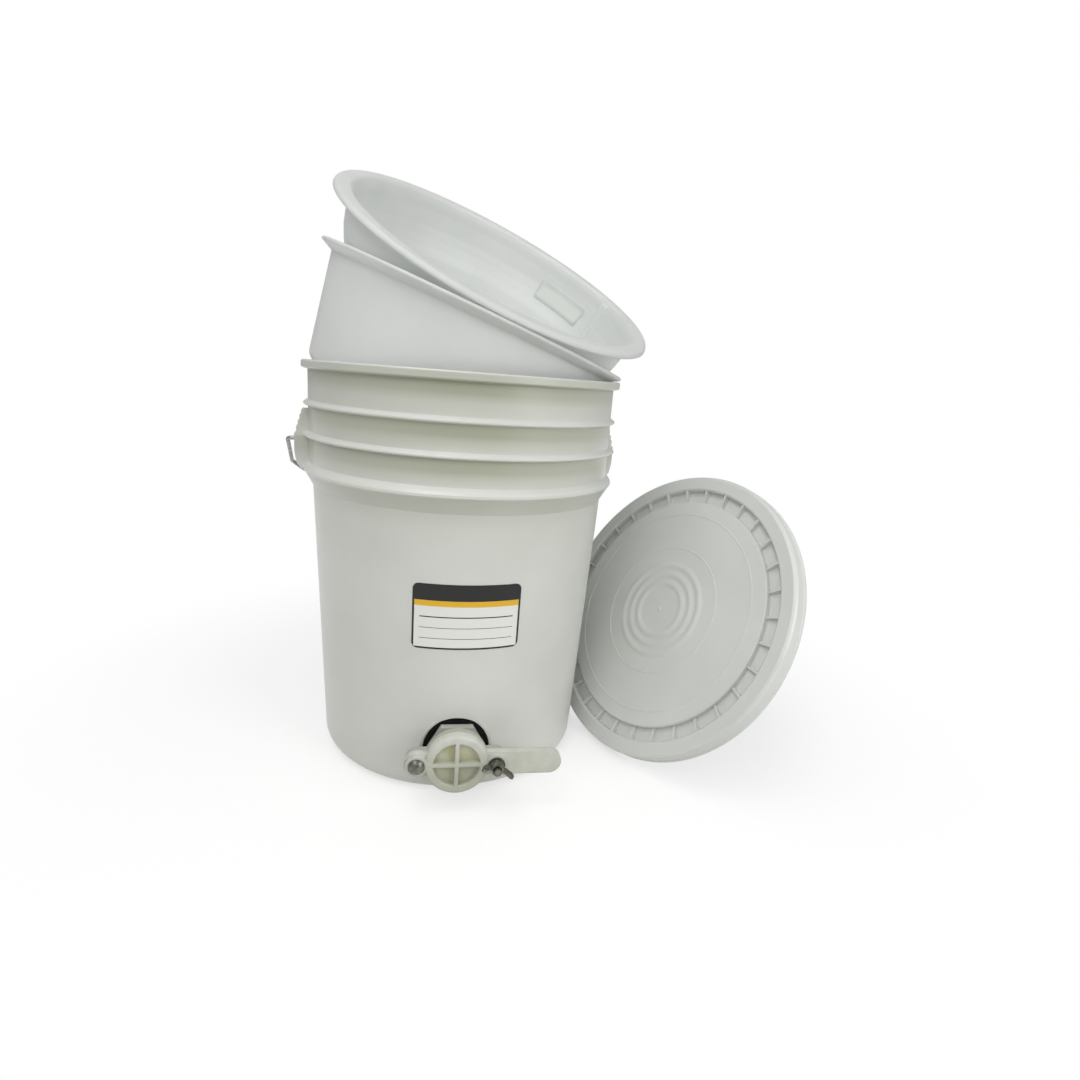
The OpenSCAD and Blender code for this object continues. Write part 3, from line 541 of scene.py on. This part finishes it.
# the middle of its mouth, and how it is turned and leans in the pail
lower_mouth, lower_turn, lower_lean = (0.0099, 0, 0.41968), -12.5, 20.4
lower_place = (Matrix.Rotation(math.radians(lower_turn), 4, "Z") @ Matrix.Translation(lower_mouth)
               @ Matrix.Rotation(math.radians(lower_lean), 4, "Y"))


def spun(name, profile, closed, turn, steps):
    mesh = bpy.data.meshes.new(name)
    count = len(profile)
    edges = [] if closed else [(i, i + 1) for i in range(count - 1)]
    faces = [tuple(range(count))] if closed else []
    mesh.from_pydata([(r, 0, h) for r, h in profile], edges, faces)
    made = bpy.data.objects.new(name, mesh)
    bpy.context.scene.collection.objects.link(made)
    deselect()
    made.select_set(True)
    bpy.context.view_layer.objects.active = made
    bpy.ops.object.mode_set(mode="EDIT")
    bpy.ops.mesh.select_all(action="SELECT")
    bpy.ops.mesh.spin(steps=steps, angle=turn, center=(0, 0, 0), axis=(0, 0, 1))
    bpy.ops.mesh.select_all(action="SELECT")
    bpy.ops.mesh.remove_doubles(threshold=0.00001)
    bpy.ops.mesh.normals_make_consistent(inside=False)
    bpy.ops.object.mode_set(mode="OBJECT")
    return made


def set_down(piece, place):
    deselect()
    piece.select_set(True)
    bpy.context.view_layer.objects.active = piece
    piece.matrix_world = place
    bpy.ops.object.transform_apply(location=True, rotation=True, scale=True)


cloth_sag, cloth_thick, cloth_rings, cloth_sectors = 0.0012, 0.0003, 12, 96


def strainer_cloth(name, radius, height, place, pitch_mm, body, node_name):
    sag = [(radius * k / cloth_rings, height - cloth_sag * (1 - (k / cloth_rings) ** 2))
           for k in range(cloth_rings + 1)]
    cloth = spun(name, sag, False, math.tau, cloth_sectors)
    thick = cloth.modifiers.new("thread", "SOLIDIFY")
    thick.thickness = cloth_thick
    thick.offset = 0
    bpy.ops.object.modifier_apply(modifier="thread")
    bpy.ops.object.shade_smooth_by_angle(angle=math.radians(40))
    set_down(cloth, place)

    # woven nylon: off-white threads over shaded holes; the real holes are under 1 mm and are drawn coarser
    woven, tree = start_material("woven_nylon_" + name)
    spot = add_node(tree, "ShaderNodeTexCoord").outputs["Object"]
    threads = []
    for axis in (place.col[0].xyz, place.col[1].xyz):
        run = add_node(tree, "ShaderNodeVectorMath", {0: spot, 1: tuple(axis)}, operation="DOT_PRODUCT")
        turn = add_node(tree, "ShaderNodeMath", {0: run.outputs["Value"], 1: math.tau * 1000 / pitch_mm},
                        operation="MULTIPLY")
        threads.append(add_node(tree, "ShaderNodeMath", {0: turn.outputs[0]}, operation="SINE"))
    high = add_node(tree, "ShaderNodeMath", {0: threads[0].outputs[0], 1: threads[1].outputs[0]},
                    operation="MAXIMUM")
    cover = add_node(tree, "ShaderNodeMapRange",
                     {"Value": high.outputs[0], "From Min": -0.2, "From Max": 0.35})
    tone = add_node(tree, "ShaderNodeMix",
                    {"Factor": cover.outputs[0], "A": linear("#A3A7A4"), "B": linear("#E2E3DC")},
                    data_type="RGBA")
    bump = add_node(tree, "ShaderNodeBump", {"Height": high.outputs[0], "Strength": 0.4, "Distance": 0.0004})
    skin = add_node(tree, "ShaderNodeBsdfPrincipled",
                    {"Base Color": tone.outputs["Result"], "Roughness": 0.5, "IOR": 1.53,
                     "Normal": bump.outputs[0]})
    add_node(tree, "ShaderNodeOutputMaterial", {"Surface": skin.outputs[0]})
    cloth.data.materials.append(woven)
    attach(cloth, body)
    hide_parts(node_name)


# the cloth's radius, its height from the mouth, and how far apart its threads are drawn
fine_radius, fine_height, fine_pitch_mm = 0.1158, -0.09355, 2.0
strainer_cloth("fine_strainer_cloth", fine_radius, fine_height, lower_place, fine_pitch_mm, "strainer",
               "strainer_mesh")


# The upper strainer: a round-bottomed basket with a broad flared lip, leaning in the lower one with its lip
# on the lower one's flange. Coarse cloth is welded over its floor, and a blank panel and a strip are moulded
# inside it.

# the same natural polyethylene, which looks a little greyer than in the lower strainer
upper_dark, upper_light = "#D8DBD9", "#DFE1DF"
upper_pe = milky_polyethylene("milky_natural_polyethylene_greyer", upper_dark, upper_light, through=0.34)
dress("upper_strainer_shell", upper_pe)
dress("upper_strainer_ring", upper_pe)

# the middle of its mouth, its turn and its lean, measured from the lower one
upper_mouth, upper_turn, upper_lean = (0.0023, 0, 0.05328), -71.5, 17.3
upper_place = (lower_place @ Matrix.Translation(upper_mouth)
               @ Matrix.Rotation(math.radians(upper_turn), 4, "Z")
               @ Matrix.Rotation(math.radians(upper_lean), 4, "Y"))
coarse_radius, coarse_height, coarse_pitch_mm = 0.1068, -0.08105, 3.2
strainer_cloth("coarse_strainer_cloth", coarse_radius, coarse_height, upper_place, coarse_pitch_mm,
               "upper_strainer", "upper_strainer_mesh")

# the panel and the strip are one with the wall, so the same plastic lets through all that the wall does
relief_pe = milky_polyethylene("milky_polyethylene_relief", upper_dark, upper_light, through=0.85)
sunk_mm = 0.2


def moulded_on_wall(name, wall_mm, stands_mm, wide_deg, steps, edge, at_deg):
    face = [((r - stands_mm) / 1000, h / 1000) for r, h in wall_mm]
    back = [((r + sunk_mm) / 1000, h / 1000) for r, h in reversed(wall_mm)]
    piece = spun(name, face + back, True, math.radians(wide_deg), steps)
    soft = piece.modifiers.new("moulded_edge", "BEVEL")
    soft.width = edge
    soft.segments = 2
    soft.limit_method = "ANGLE"
    bpy.ops.object.modifier_apply(modifier="moulded_edge")
    bpy.ops.object.shade_smooth_by_angle(angle=math.radians(30))
    set_down(piece, upper_place @ Matrix.Rotation(math.radians(at_deg), 4, "Z"))
    piece.data.materials.append(relief_pe)
    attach(piece, "upper_strainer")


# the wall's inner line in mm, as radius and height from the mouth, where each of the two lies on it
panel_wall = [(135.3, -23), (134.4, -29.6), (131.3, -39), (129.4, -43.5)]
strip_wall = [(136.8, -5), (136.8, -14), (134.4, -29.6), (131.3, -39), (127.8, -46.8), (123, -54.6)]
moulded_on_wall("blank_size_panel", panel_wall, stands_mm=0.4, wide_deg=27.5, steps=18, edge=0.0004,
                at_deg=150.5)
moulded_on_wall("moulded_strip", strip_wall, stands_mm=1.1, wide_deg=4, steps=6, edge=0.0005, at_deg=116.5)


# The lid: a moulding of the pail's polyethylene with a rippled middle, a ribbed ring channel, a rim cap and a
# skirt. A rubber ring lies under the cap. It stands on its edge on the floor and leans away from the pail.
# the lid gets no painted shade
no_painted_shade = [(shade_low, 0.0), (shade_high, 0.0)]
dress("lid_shell", moulded_hdpe("moulded_lid_hdpe", "#D5D8D4", "#DADCD9", "#D5D8D4", no_painted_shade))
dress("lid_gasket", rubber)
